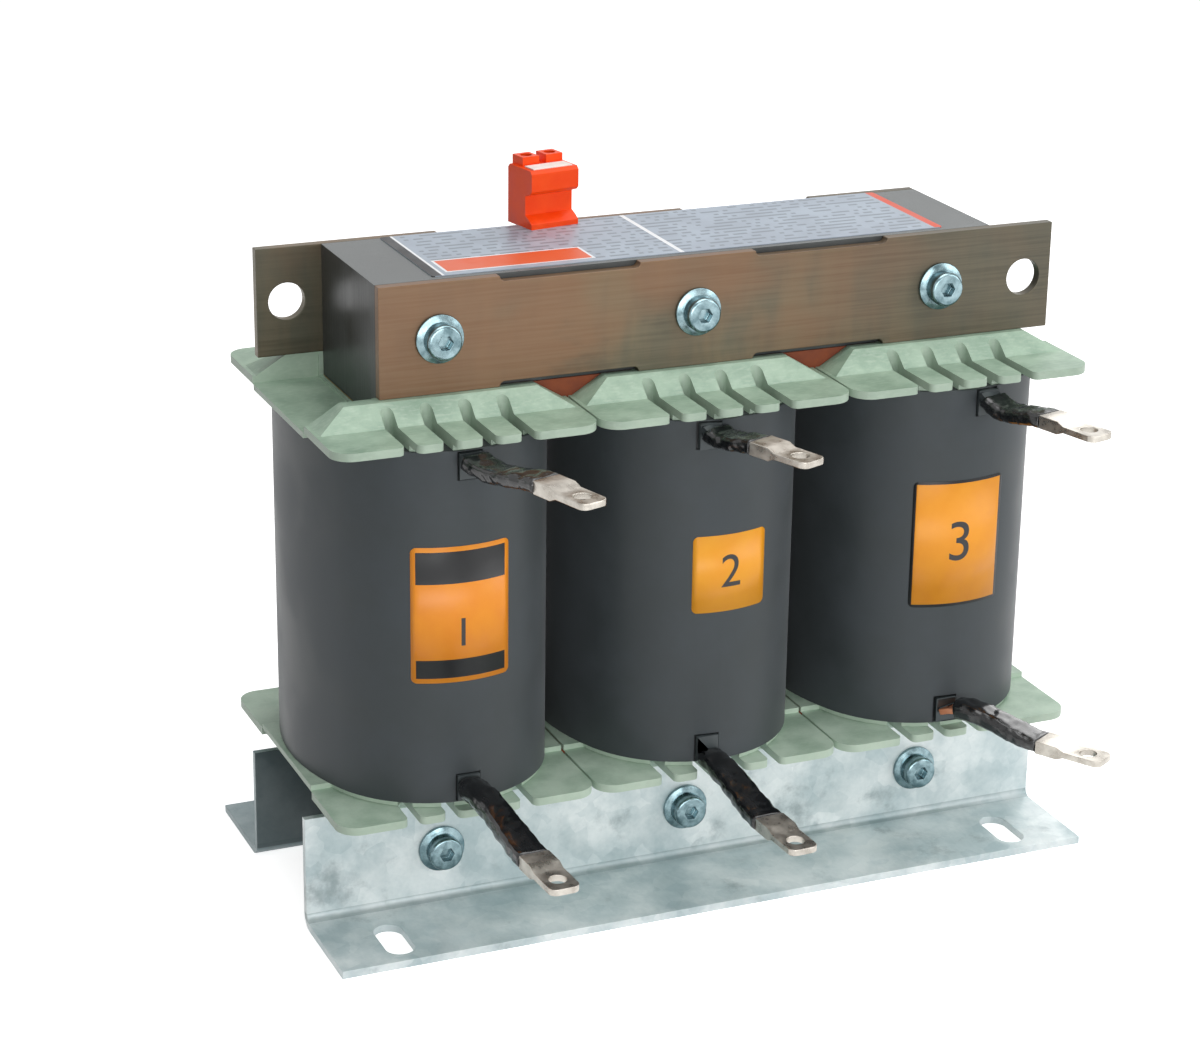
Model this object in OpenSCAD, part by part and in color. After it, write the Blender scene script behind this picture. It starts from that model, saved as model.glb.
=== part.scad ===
// Harmonic filter reactor: three foil windings on a gapped three-leg core.
// Two flat bars clamp the upper yoke, and two foot angles clamp the lower one.
// Millimetres. The origin is on the floor under the middle of the core, +X runs along the row of
// windings, -Y is the front with the connection lugs, and +Z is up.

/* [Core] */
// Distance between the centres of neighbouring legs
leg_pitch = 100; // [98:1:120]
// Width of a leg along the row
leg_w = 45; // [38:1:48]
// Depth of the stack of laminations
stack_d = 60; // [50:1:72]
// Height of each yoke
yoke_h = 50; // [44:1:66]
// Height of the window between the two yokes
window_h = 140; // [110:1:220]
// Height of the lower yoke above the floor
yoke_clear = 3.5; // [2:0.5:8]
// Number of core blocks in each leg
leg_blocks = 3; // [1:1:6]
// Thickness of each air-gap spacer
gap_t = 2.5; // [1:0.5:5]

/* [Windings] */
// Free gap between neighbouring windings
coil_gap = 4.3; // [2:0.1:6]
// Build of a winding in front of and behind its leg
coil_build = 32.5; // [28:0.5:40]
// How far the sides of a winding bulge past its rounded ends
coil_bulge = 3.85; // [2:0.05:6]
// Thickness of the outer wrap
wrap_t = 1.2; // [0.8:0.1:3]
// Wall of the rectangular former
former_t = 2; // [1.5:0.1:4]
// Space between a leg and the inside of its former
leg_clear = 2.5; // [2:0.1:4]

/* [End flanges] */
// Gap between neighbouring end flanges
flange_gap = 1; // [0.6:0.1:3]
// How far an end flange reaches past the front of its winding
flange_lip = 4; // [2:0.5:8]
// Thickness of the flange plate
plate_t = 3; // [2:0.1:4]
// How far the plate stands past the face of the yoke beside it
plate_rise = 2; // [0.5:0.1:2.5]
// Thickness of the web between the yoke and the winding
web_t = 3; // [2.6:0.1:5]
// Height of the ridges that hold the yoke between them
ridge_h = 9; // [6:0.5:12]
// Width of the flat top of a ridge
ridge_land = 6.5; // [5:0.5:9]
// Width of a ridge with its sloping face
ridge_w = 15; // [12:0.5:20]
// Number of slots in each long edge of a flange
slot_count = 4; // [2:1:5]
// Distance between the middles of neighbouring slots
slot_pitch = 14.5; // [12:0.5:16]
// Width of a slot
slot_w = 4.75; // [3:0.25:6]
// Distance from the face of the core to the root of a slot
slot_root = 8; // [7:0.5:14]
// Corner radius of the flange plate
plate_corner_r = 8; // [4:0.5:12]

/* [Clamping] */
// Thickness of an upper clamp bar
bar_t = 4; // [3:0.5:8]
// How far a bar reaches past the yoke as a lifting ear
ear_l = 25; // [20:1:40]
// Diameter of the hole in a lifting ear
ear_hole_d = 14; // [8:1:18]
// Distance from the middle of the ear hole to the end of the bar
ear_edge = 11.5; // [11:0.5:14]
// Depth of the long notches in the edges of a bar
notch_d = 2; // [1:0.5:4]
// Sheet thickness of a foot angle
foot_t = 3; // [2:0.5:5]
// Length of a foot angle
foot_l = 306; // [296:1:400]
// Depth over both foot angles
feet_d = 150; // [140:1:190]
// Width of a mounting slot
mount_slot_w = 11; // [7:0.5:12]
// Length of a mounting slot
mount_slot_l = 24; // [14:1:28]
// Distance between the mounting slots along the row
mount_pitch_x = 255; // [240:1:264]
// Distance between the mounting slots across the row
mount_pitch_y = 116; // [112:1:118]

/* [Fasteners] */
// Diameter of the clamping bolts
bolt_d = 8; // [6:0.5:9]
// Diameter of a bolt head
head_d = 13; // [12:0.5:15]
// Height of a bolt head
head_h = 5; // [3.5:0.5:8]
// Width across the flats of the socket in a bolt head
socket_w = 5; // [4:0.5:6]
// Outer diameter of a washer
washer_d = 18; // [16:0.5:20]
// Thickness of a washer
washer_t = 2; // [1.2:0.1:3]
// Width across the flats of a nut
nut_w = 13; // [12:0.5:16]
// Height of a nut
nut_h = 6.5; // [4:0.5:9]
// Wall of the insulating tube round a bolt
tube_wall = 1; // [0.6:0.1:1.5]

/* [Leads] */
// Width of a folded foil tail
tail_w = 8.4; // [6:0.2:9]
// Thickness of a folded foil tail
tail_t = 2.4; // [1.5:0.1:2.6]
// Height of the fold that lies in the outer wrap
fold_h = 9.6; // [6:0.2:9.8]
// Sleeved length that the lower tails follow
lower_lead_l = 50; // [40:1:60]
// Sleeved length that the upper tails follow
upper_lead_l = 33; // [28:1:42]
// Width of a sleeve at the lug
sleeve_w = 12.6; // [11.6:0.1:14]
// Height of a sleeve at the lug
sleeve_h = 5.2; // [5:0.1:7]
// Width of a lug
lug_w = 11.4; // [11:0.1:13]
// Length of a lug
lug_l = 27; // [24:1:34]
// Length of the crimped barrel of a lug
barrel_l = 9; // [7:0.5:11]
// Height of the crimped barrel of a lug
barrel_h = 5; // [4.4:0.1:6]
// Thickness of the palm of a lug
palm_t = 2.4; // [1.6:0.1:3]
// Diameter of the hole in the palm
lug_hole_d = 6.4; // [4.2:0.1:7]

/* [Terminal block] */
// Width of the terminal block
block_w = 20.5; // [18:0.5:30]
// Depth of the terminal block
block_d = 17; // [14:0.5:20]
// Height of the terminal block under its screw towers
block_h = 22.5; // [19:0.5:30]
// Turn of the terminal block on the yoke
block_turn = 10; // [0:1:15]

/* [Hidden] */
$fn = 64;
// Clearance between parts that pass through or round each other
fit = 0.3;
// Overrun of every cut
over = 1;
leg_xs = [for (i = [-1:1]) i * leg_pitch];

// Core
yoke_l = 2 * leg_pitch + leg_w;
lower_face = yoke_clear + yoke_h;
upper_face = lower_face + window_h;
core_top = upper_face + yoke_h;
half_stack = stack_d / 2;
block_height = (window_h - (leg_blocks + 1) * gap_t) / leg_blocks;

// Windings
coil_w = leg_pitch - coil_gap;
coil_d = stack_d + 2 * coil_build;
coil_h = window_h - 2 * web_t;
coil_bottom = lower_face + web_t;
coil_top = upper_face - web_t;
coil_front = coil_d / 2;
former_corner_r = 3;
side_steps = 12;
end_steps = 32;

// End flanges
flange_w = leg_pitch - flange_gap;
flange_d = coil_d + 2 * flange_lip;
ridge_in = half_stack + fit;
ridge_setback = 2;
ridge_ramp = 11.5;
slot_tip_r = 2.5;
collar_t = leg_clear - 2 * fit;
collar_h = 5;
liner_t = 0.8;
liner_end = 2;

// Clamping
bar_h = yoke_h - ridge_h;
bar_l = yoke_l + ear_l;
upper_bolt_z = core_top - bar_h / 2;
lower_bolt_z = yoke_clear + bar_h / 2;
foot_h = yoke_clear + bar_h;
foot_bend_r = 3;
notch_end = 1.5;
tube_d = bolt_d + 2 * fit + 2 * tube_wall;
through_d = tube_d + 2 * fit;
tube_recess = 0.5;
socket_depth = 2.8;
head_edge_r = 1.2;
washer_cone = 0.7;
bolt_past_nut = 3;
nut_chamfer = 0.8;
washer_bore_d = bolt_d + 2 * fit;

// Leads: lower left, lower middle, lower right, upper left, upper middle, upper right
lead_leg = [0, 1, 2, 0, 1, 2];
lead_x_shares = [0, -0.05, -0.04, 0.01, -0.07, 0.07];
lead_turns = [3, 3, 30, 17, 20, 15];
lead_length_shares = [1.14, 0.98, 0.86, 1.27, 0.76, 0.97];
lead_bow_shares = [0.09, 0.03, 0.16, -0.14, -0.22, -0.26];
lead_drop_shares = [-0.06, -0.13, -0.05, 0.03, -0.02, -0.05];
lead_height_shares = [0.47, 0.2, 0.47, 0.15, 0.15, 0.15];
// Size of each sleeve where it starts, as shares of its size at the lug
sleeve_start_w_shares = [0.8, 0.84, 0.8, 1, 1, 1];
sleeve_start_h_shares = [1.6, 1.12, 1.5, 1, 1, 1];
// Share of a sleeve's smaller side that its round corners take
sleeve_corner_share = 0.4;
// Where each sleeve starts on its tail. The lower right one leaves bare copper in front of the wrap
sleeve_start = 2.6;
bare_l = 6.5;
sleeve_starts = [sleeve_start, sleeve_start, bare_l, sleeve_start, sleeve_start, sleeve_start];
fold_t = 0.9;
wrap_window = 0.5;
bend_steps = 12;
ring_steps = 9;
corner_steps = 3;
palm_taper_l = 3;
palm_end_r = 3;

// Terminal block
block_x_share = -0.35;
block_inset = 8;
foot_step = 2.2;
undercut = 4.6;
undercut_low = 5;
undercut_high = 13.5;
block_edge_r = 1.2;
tower_h = 3.4;
tower_l = 7.4;
tower_wall = 1.3;
screw_d = 4;
screw_h = 2;
screw_slot_w = 0.8;
screw_slot_depth = 1;
cage_w = 5;
cage_l = 6;
cage_h = 6.5;
cage_low = 6;
cage_wall = 0.9;
wire_hole_d = 3.4;

// Rectangle centred on the origin with round corners
module round_rect(w, d, r) {
    square([w - 2 * r, d], center = true);
    square([w, d - 2 * r], center = true);
    for (x = [-1, 1], y = [-1, 1]) {
        translate([x * (w / 2 - r), y * (d / 2 - r)]) circle(r);
    }
}

// Upright box centred on the origin in plan, from z = low to z = high
module upright(w, d, low, high) {
    translate([0, 0, low]) linear_extrude(high - low) square([w, d], center = true);
}

// Points of an arc from angle a to angle b, without the last one
function arc(x, y, r, a, b, steps) = [
    for (k = [0:steps - 1]) let (turn = a + (b - a) * k / steps) [x + r * cos(turn), y + r * sin(turn)]
];

// Outline of a winding, drawn in by inset: two end arcs joined by two flatter side arcs
module coil_outline(inset) {
    half_w = coil_w / 2 - inset;
    half_d = coil_d / 2 - inset;
    end_r = half_w - coil_bulge;
    end_y = half_d - end_r;
    side_r = (half_w * half_w + end_y * end_y - end_r * end_r) / (2 * coil_bulge);
    join = atan2(end_y, side_r - half_w);
    polygon(concat(
        arc(half_w - side_r, 0, side_r, -join, join, side_steps),
        arc(0, end_y, end_r, join, 180 - join, end_steps),
        arc(side_r - half_w, 0, side_r, 180 - join, 180 + join, side_steps),
        arc(0, -end_y, end_r, 180 + join, 360 - join, end_steps)
    ));
}

// Core
module yoke(z) {
    color("dimgray") difference() {
        translate([-yoke_l / 2, -half_stack, z]) cube([yoke_l, stack_d, yoke_h]);
        bolt_row(through_d, z < upper_face ? lower_bolt_z : upper_bolt_z);
    }
}

// Holes along Y through all three bolt places at one height
module bolt_row(d, z) {
    for (x = leg_xs) {
        translate([x, feet_d / 2, z]) rotate([90, 0, 0]) cylinder(d = d, h = feet_d);
    }
}

module leg_blocks_of(i) {
    color("dimgray") for (k = [0:leg_blocks - 1]) {
        low = lower_face + gap_t + k * (block_height + gap_t);
        translate([leg_xs[i], 0, 0]) upright(leg_w, stack_d, low, low + block_height);
    }
}

module gap_spacers() {
    color("khaki") for (x = leg_xs, k = [0:leg_blocks]) {
        low = lower_face + k * (block_height + gap_t);
        translate([x, 0, 0]) upright(leg_w, stack_d, low, low + gap_t);
    }
}

// Windings
module former_of(i) {
    w = leg_w + 2 * leg_clear;
    d = stack_d + 2 * leg_clear;
    color("tan") translate([leg_xs[i], 0, coil_bottom]) linear_extrude(coil_h) difference() {
        round_rect(w + 2 * former_t, d + 2 * former_t, former_corner_r);
        square([w, d], center = true);
    }
}

module foil_winding_of(i) {
    w = leg_w + 2 * (leg_clear + former_t + fit);
    d = stack_d + 2 * (leg_clear + former_t + fit);
    color("peru") translate([leg_xs[i], 0, coil_bottom]) linear_extrude(coil_h) difference() {
        coil_outline(wrap_t + fit);
        round_rect(w, d, former_corner_r);
    }
}

// Outer wrap with one window at each end for the folded tails
module outer_wrap_of(i) {
    color([0.25, 0.27, 0.29]) difference() {
        translate([leg_xs[i], 0, coil_bottom]) linear_extrude(coil_h) difference() {
            coil_outline(0);
            coil_outline(wrap_t);
        }
        for (n = [i, i + len(leg_xs)]) {
            translate([lead_x(n), -coil_front, lead_z(n)]) {
                cube([tail_w + 2 * wrap_window, coil_build, fold_h + 2 * wrap_window], center = true);
            }
        }
    }
}

// End flanges, drawn with the face of the yoke at z = 0 and the winding below
module flange_tip(y_sign) {
    front = flange_d / 2;
    for (k = [0:slot_count - 1]) {
        x = (k - (slot_count - 1) / 2) * slot_pitch;
        root = half_stack + slot_root + slot_w / 2;
        mirror([0, y_sign > 0 ? 0 : 1]) translate([x, 0]) {
            translate([0, root]) circle(d = slot_w);
            translate([-slot_w / 2, root]) square([slot_w, front - root + over]);
            difference() {
                translate([-slot_w / 2 - slot_tip_r, front - slot_tip_r]) {
                    square([slot_w + 2 * slot_tip_r, slot_tip_r + over]);
                }
                for (side = [-1, 1]) {
                    translate([side * (slot_w / 2 + slot_tip_r), front - slot_tip_r]) circle(slot_tip_r);
                }
            }
        }
    }
}

module flange_ridge() {
    slope_end = half_stack + ridge_w;
    land_end = half_stack + ridge_land;
    ramp_end = leg_pitch / 2 - ridge_setback;
    ramp_start = ramp_end - ridge_ramp;
    base = plate_rise - plate_t / 2;
    intersection() {
        rotate([90, 0, 90]) linear_extrude(flange_w, center = true) polygon([
            [ridge_in, base], [slope_end, base], [slope_end, plate_rise],
            [land_end, ridge_h], [ridge_in, ridge_h]
        ]);
        rotate([90, 0, 0]) linear_extrude(flange_d, center = true) polygon([
            [-ramp_end, base], [ramp_end, base], [ramp_end, plate_rise], [ramp_start, ridge_h],
            [-ramp_start, ridge_h], [-ramp_end, plate_rise]
        ]);
    }
}

module flange() {
    plate_low = plate_rise - plate_t;
    collar_out = fit + collar_t;
    difference() {
        union() {
            translate([0, 0, plate_low]) linear_extrude(plate_t) {
                round_rect(flange_w, flange_d, plate_corner_r);
            }
            translate([0, 0, -web_t]) linear_extrude(web_t + plate_rise / 2) coil_outline(wrap_t);
            translate([0, 0, -web_t]) linear_extrude(web_t + plate_rise / 2) {
                square([flange_w, stack_d], center = true);
            }
            for (turn = [0, 180]) rotate([0, 0, turn]) flange_ridge();
            upright(leg_w + 2 * collar_out, stack_d + 2 * collar_out, -web_t - collar_h, -web_t / 2);
        }
        upright(flange_w + 2 * over, 2 * ridge_in, 0, ridge_h + over);
        upright(leg_w + 2 * fit, 2 * ridge_in, -web_t - collar_h - over, over);
        for (side = [-1, 1]) {
            translate([side * leg_pitch / 2, 0, 0]) {
                upright(liner_l() + 2 * fit, stack_d + 2 * (liner_t + fit), -liner_t, ridge_h + over);
            }
        }
        translate([0, 0, -web_t - over]) linear_extrude(web_t + ridge_h + 2 * over) {
            for (y_sign = [-1, 1]) flange_tip(y_sign);
        }
    }
}

module upper_flange_of(i) {
    color([0.7, 0.79, 0.7]) translate([leg_xs[i], 0, upper_face]) flange();
}

module lower_flange_of(i) {
    color([0.7, 0.79, 0.7]) translate([leg_xs[i], 0, lower_face]) mirror([0, 0, 1]) flange();
}

// Pressboard liners between the yokes and the flanges, one in each window
function liner_l() = leg_pitch - leg_w - 2 * liner_end;

module liner(wing) {
    rotate([90, 0, 90]) linear_extrude(liner_l(), center = true) difference() {
        translate([-half_stack - liner_t, -liner_t]) square([stack_d + 2 * liner_t, wing + liner_t]);
        translate([-half_stack, 0]) square([stack_d, wing + over]);
    }
}

module upper_liners() {
    color("sienna") for (side = [-1, 1]) {
        translate([side * leg_pitch / 2, 0, upper_face]) liner(ridge_h - fit);
    }
}

module lower_liners() {
    color("sienna") for (side = [-1, 1]) {
        translate([side * leg_pitch / 2, 0, lower_face]) mirror([0, 0, 1]) liner(ridge_h - fit);
    }
}

// Upper clamp bar, drawn lying in the XZ plane with its lower edge at z = 0
module clamp_bar() {
    notch_l = liner_l() + 2 * notch_end;
    rotate([90, 0, 0]) linear_extrude(bar_t) difference() {
        translate([-yoke_l / 2, 0]) square([bar_l, bar_h]);
        for (x = leg_xs) translate([x, bar_h / 2]) circle(d = through_d);
        translate([yoke_l / 2 + ear_l - ear_edge, bar_h / 2]) circle(d = ear_hole_d);
        for (side = [-1, 1], edge = [0, bar_h]) translate([side * leg_pitch / 2, edge]) {
            square([notch_l - 2 * notch_d, 2 * notch_d], center = true);
            for (end = [-1, 1]) translate([end * (notch_l / 2 - notch_d), 0]) circle(notch_d);
        }
    }
}

module clamp_bar_front() {
    color([0.6, 0.54, 0.45]) translate([0, -half_stack, upper_face + ridge_h]) clamp_bar();
}

module clamp_bar_back() {
    color([0.6, 0.54, 0.45]) rotate([0, 0, 180]) {
        translate([0, -half_stack, upper_face + ridge_h]) clamp_bar();
    }
}

// Foot angle of bent sheet: its upright flange stands against the core
module foot_angle() {
    foot_w = feet_d / 2 - half_stack;
    outer_r = foot_bend_r + foot_t;
    difference() {
        translate([0, -half_stack, 0]) rotate([90, 0, 90]) linear_extrude(foot_l, center = true) {
            translate([-foot_t, outer_r]) square([foot_t, foot_h - outer_r]);
            translate([-foot_w, 0]) square([foot_w - outer_r, foot_t]);
            intersection() {
                translate([-outer_r, outer_r]) difference() {
                    circle(outer_r);
                    circle(foot_bend_r);
                }
                translate([-outer_r, 0]) square(outer_r);
            }
        }
        bolt_row(through_d, lower_bolt_z);
        for (x = [-1, 1]) translate([x * mount_pitch_x / 2, -mount_pitch_y / 2, -over]) {
            linear_extrude(foot_t + 2 * over) mounting_slot();
        }
    }
}

module mounting_slot() {
    straight = mount_slot_l - mount_slot_w;
    square([mount_slot_w, straight], center = true);
    for (end = [-1, 1]) translate([0, end * straight / 2]) circle(d = mount_slot_w);
}

module foot_angle_front() {
    color([0.72, 0.76, 0.78]) foot_angle();
}

module foot_angle_back() {
    color([0.72, 0.76, 0.78]) rotate([0, 0, 180]) foot_angle();
}

// Fasteners. grip is what a bolt clamps: the core with the sheet or bar on both sides
upper_grip = stack_d + 2 * bar_t;
lower_grip = stack_d + 2 * foot_t;

// Places a part on each bolt of a row, with its z axis along the bolt and the clamped parts
// between z = 0 at the front and z = grip at the back
module on_bolts(grip, z) {
    for (x = leg_xs) translate([x, -grip / 2, z]) rotate([-90, 0, 0]) children();
}

module bolt(grip) {
    length = grip + 2 * washer_t + nut_h + bolt_past_nut;
    translate([0, 0, -washer_t]) difference() {
        rotate_extrude() {
            square([bolt_d / 2, length]);
            translate([0, -head_h]) {
                square([head_d / 2 - head_edge_r, head_h]);
                translate([0, head_edge_r]) square([head_d / 2, head_h - head_edge_r]);
                intersection() {
                    translate([head_d / 2 - head_edge_r, head_edge_r]) circle(head_edge_r);
                    square([head_d / 2, head_edge_r]);
                }
            }
        }
        translate([0, 0, -head_h - over]) {
            cylinder(d = socket_w / cos(30), h = socket_depth + over, $fn = 6);
        }
    }
}

// Washer lying on z = 0, its rim thinner than its middle
module washer() {
    rotate_extrude() polygon([
        [washer_bore_d / 2, 0], [washer_d / 2, 0], [washer_d / 2, washer_t - washer_cone],
        [head_d / 2, washer_t], [washer_bore_d / 2, washer_t]
    ]);
}

module nut() {
    difference() {
        intersection() {
            cylinder(d = nut_w / cos(30), h = nut_h, $fn = 6);
            rotate_extrude() polygon([
                [0, 0], [nut_w / 2 / cos(30), 0], [nut_w / 2 / cos(30), nut_h - nut_chamfer],
                [nut_w / 2, nut_h], [0, nut_h]
            ]);
        }
        translate([0, 0, -over]) cylinder(d = bolt_d + fit, h = nut_h + 2 * over);
    }
}

module bolt_tube(grip) {
    translate([0, 0, tube_recess]) difference() {
        cylinder(d = tube_d, h = grip - 2 * tube_recess);
        translate([0, 0, -over]) cylinder(d = bolt_d + 2 * fit, h = grip + 2 * over);
    }
}

module washer_pair(grip) {
    mirror([0, 0, 1]) washer();
    translate([0, 0, grip]) washer();
}

module upper_bolts() {
    color("lightsteelblue") on_bolts(upper_grip, upper_bolt_z) bolt(upper_grip);
}

module lower_bolts() {
    color("lightsteelblue") on_bolts(lower_grip, lower_bolt_z) bolt(lower_grip);
}

module upper_bolt_tubes() {
    color("wheat") on_bolts(upper_grip, upper_bolt_z) bolt_tube(upper_grip);
}

module lower_bolt_tubes() {
    color("wheat") on_bolts(lower_grip, lower_bolt_z) bolt_tube(lower_grip);
}

module upper_washers() {
    color("lightsteelblue") on_bolts(upper_grip, upper_bolt_z) washer_pair(upper_grip);
}

module lower_washers() {
    color("lightsteelblue") on_bolts(lower_grip, lower_bolt_z) washer_pair(lower_grip);
}

module upper_nuts() {
    color("lightsteelblue") on_bolts(upper_grip, upper_bolt_z) {
        translate([0, 0, upper_grip + washer_t]) nut();
    }
}

module lower_nuts() {
    color("lightsteelblue") on_bolts(lower_grip, lower_bolt_z) {
        translate([0, 0, lower_grip + washer_t]) nut();
    }
}

// Leads. Each runs out from the front of its winding in one upright plane
function is_upper(n) = n >= len(leg_xs);
function lead_x(n) = leg_xs[lead_leg[n]] + lead_x_shares[n] * leg_pitch;
function lead_length(n) = lead_length_shares[n] * (is_upper(n) ? upper_lead_l : lower_lead_l);
function lead_z(n) = is_upper(n)
    ? coil_top - fold_h / 2 - wrap_window - fit
    : coil_bottom + fold_h / 2 + wrap_window + fit;

// Height of the tail above the middle of its fold, and the curve of its middle line
function lead_rise(n) = (lead_height_shares[n] - 0.5) * fold_h * (is_upper(n) ? -1 : 1);
function lead_point(n, t) = let (
    run = lead_length(n),
    bow = lead_bow_shares[n] * run,
    drop = lead_drop_shares[n] * run,
    a = 3 * t * (1 - t) * (1 - t),
    b = 3 * t * t * (1 - t),
    c = t * t * t
) [t * run, a * bow + (b + c) * drop + lead_rise(n)];
function lead_slope(n, t) = let (
    step = 0.5 / bend_steps,
    p = lead_point(n, max(t - step, 0)),
    q = lead_point(n, min(t + step, 1))
) t < 1 ? atan2(q[1] - p[1], q[0] - p[0]) : 0;

// Places a lead in its plane: x runs out from the winding, z is up
module in_lead_plane(n) {
    translate([lead_x(n), -coil_front, lead_z(n)]) rotate([0, 0, lead_turns[n] - 90]) children();
}

// Flat strip that follows the middle line, reaching to t_end of the sleeved length and on
module tail_of(n) {
    ts = [for (k = [0:bend_steps]) k / bend_steps];
    edge = function (t, side) let (p = lead_point(n, t), a = lead_slope(n, t))
        [p[0] - side * sin(a) * tail_t / 2, p[1] + side * cos(a) * tail_t / 2];
    last = lead_point(n, 1);
    end_x = last[0] + barrel_l - fit;
    outline = concat(
        [for (t = ts) edge(t, 1)],
        [[end_x, last[1] + tail_t / 2], [end_x, last[1] - tail_t / 2]],
        [for (k = [bend_steps:-1:0]) edge(ts[k], -1)]
    );
    color("peru") {
        in_lead_plane(n) rotate([90, 0, 0]) linear_extrude(tail_w, center = true) polygon(outline);
        translate([lead_x(n), -coil_front, lead_z(n)]) {
            cube([tail_w, 2 * fold_t, fold_h], center = true);
        }
    }
}

// Ring of points round the middle line at t: a rectangle with round corners, square to the line
function ring(n, t, w, h, r) = let (p = lead_point(n, t), a = lead_slope(n, t)) [
    for (q = [0:3], k = [0:corner_steps]) let (
        turn = 90 * (q + k / corner_steps),
        sx = (q == 0 || q == 3) ? 1 : -1,
        sy = q < 2 ? 1 : -1,
        u = sx * (w / 2 - r) + r * cos(turn),
        v = sy * (h / 2 - r) + r * sin(turn)
    ) [p[0] - sin(a) * v, u, p[1] + cos(a) * v]
];

// Shrunk sleeve: a skin lofted from a full section at the winding to a flat one at the lug
module sleeve_of(n) {
    first = sleeve_starts[n] / lead_length(n);
    ts = [for (k = [0:ring_steps]) first + (1 - first) * k / ring_steps];
    outer = [for (k = [0:ring_steps]) let (
        s = k / ring_steps,
        w = sleeve_w * (sleeve_start_w_shares[n] * (1 - s) + s),
        h = sleeve_h * (sleeve_start_h_shares[n] * (1 - s) + s)
    ) ring(n, ts[k], w, h, min(w, h) * sleeve_corner_share)];
    inner = [for (t = ts) ring(n, t, tail_w + 2 * fit, tail_t + 2 * fit, fit)];
    count = len(outer[0]);
    rings = ring_steps + 1;
    points = [for (k = [0:ring_steps]) each outer[k], for (k = [0:ring_steps]) each inner[k]];
    at = function (shell, k, j) (shell * rings + k) * count + j % count;
    sides = [for (shell = [0, 1], k = [0:ring_steps - 1], j = [0:count - 1]) let (
        a = at(shell, k, j), b = at(shell, k, j + 1), c = at(shell, k + 1, j + 1), d = at(shell, k + 1, j)
    ) each (shell == 0 ? [[a, b, c], [a, c, d]] : [[c, b, a], [d, c, a]])];
    ends = [for (k = [0, ring_steps], j = [0:count - 1]) let (
        a = at(0, k, j), b = at(0, k, j + 1), c = at(1, k, j + 1), d = at(1, k, j)
    ) each (k == 0 ? [[c, b, a], [d, c, a]] : [[a, b, c], [a, c, d]])];
    color([0.1, 0.1, 0.1]) in_lead_plane(n) polyhedron(points, concat(sides, ends), convexity = 4);
}

// Crimp lug: a barrel pressed round the end of the tail, and a flat palm with its hole
module lug_of(n) {
    last = lead_point(n, 1);
    palm_start = barrel_l + palm_taper_l;
    color("silver") in_lead_plane(n) translate([last[0], 0, last[1]]) difference() {
        intersection() {
            rotate([90, 0, 0]) linear_extrude(lug_w, center = true) polygon([
                [0, -barrel_h / 2], [barrel_l, -barrel_h / 2], [palm_start, -palm_t / 2],
                [lug_l, -palm_t / 2], [lug_l, palm_t / 2], [palm_start, palm_t / 2],
                [barrel_l, barrel_h / 2], [0, barrel_h / 2]
            ]);
            linear_extrude(barrel_h, center = true) {
                translate([0, -lug_w / 2]) square([lug_l - palm_end_r, lug_w]);
                translate([0, palm_end_r - lug_w / 2]) square([lug_l, lug_w - 2 * palm_end_r]);
                for (side = [-1, 1]) {
                    translate([lug_l - palm_end_r, side * (lug_w / 2 - palm_end_r)]) circle(palm_end_r);
                }
            }
        }
        translate([-over, -tail_w / 2 - fit, -tail_t / 2 - fit]) {
            cube([barrel_l + over, tail_w + 2 * fit, tail_t + 2 * fit]);
        }
        translate([(palm_start + lug_l) / 2, 0, -barrel_h]) cylinder(d = lug_hole_d, h = 2 * barrel_h);
    }
}

// Terminal block, drawn with the middle of its base at the origin and its front at -Y
module block_profile() {
    half = block_d / 2;
    polygon([
        [half, 0], [half, block_h - block_edge_r], [half - block_edge_r, block_h],
        [-half + block_edge_r, block_h], [-half, block_h - block_edge_r],
        [-half, undercut_high + block_edge_r], [-half + block_edge_r, undercut_high],
        [-half + undercut, undercut_high - block_edge_r], [-half + undercut, undercut_low],
        [-half + foot_step, undercut_low - block_edge_r], [-half, foot_step], [-half, 0]
    ]);
}

block_ways = [-1, 1];
function way_x(side) = side * block_w / 4;

module in_block() {
    block_y = half_stack - block_inset + block_d / 2;
    translate([block_x_share * leg_pitch, block_y, core_top]) rotate([0, 0, block_turn]) children();
}

module terminal_block() {
    well_d = screw_d + 2 * fit;
    cage_y = block_d / 2 - cage_l / 2 - tower_wall;
    color("orangered") in_block() difference() {
        union() {
            rotate([90, 0, 90]) linear_extrude(block_w, center = true) block_profile();
            for (side = block_ways) translate([way_x(side), cage_y, 0]) {
                upright(screw_d + 2 * tower_wall + 2 * fit, tower_l, block_h / 2, block_h + tower_h);
            }
        }
        for (side = block_ways) translate([way_x(side), cage_y, 0]) {
            translate([0, 0, cage_low + cage_h / 2]) cylinder(d = well_d, h = block_h + tower_h);
            translate([0, 0, cage_low]) linear_extrude(cage_h) square([cage_w, cage_l], center = true);
            translate([0, 0, cage_low + cage_h / 2 - cage_wall]) rotate([-90, 0, 0]) {
                cylinder(d = wire_hole_d, h = block_d);
            }
        }
    }
}

module terminal_cages() {
    cage_y = block_d / 2 - cage_l / 2 - tower_wall;
    color("goldenrod") in_block() for (side = block_ways) translate([way_x(side), cage_y, cage_low]) {
        difference() {
            linear_extrude(cage_h) square([cage_w, cage_l], center = true);
            translate([0, 0, cage_h / 2 - cage_wall]) rotate([90, 0, 0]) {
                cylinder(d = wire_hole_d, h = cage_l + 2 * over, center = true);
            }
            translate([0, 0, cage_h - cage_wall - fit]) cylinder(d = screw_d + fit, h = cage_h);
        }
    }
}

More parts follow.
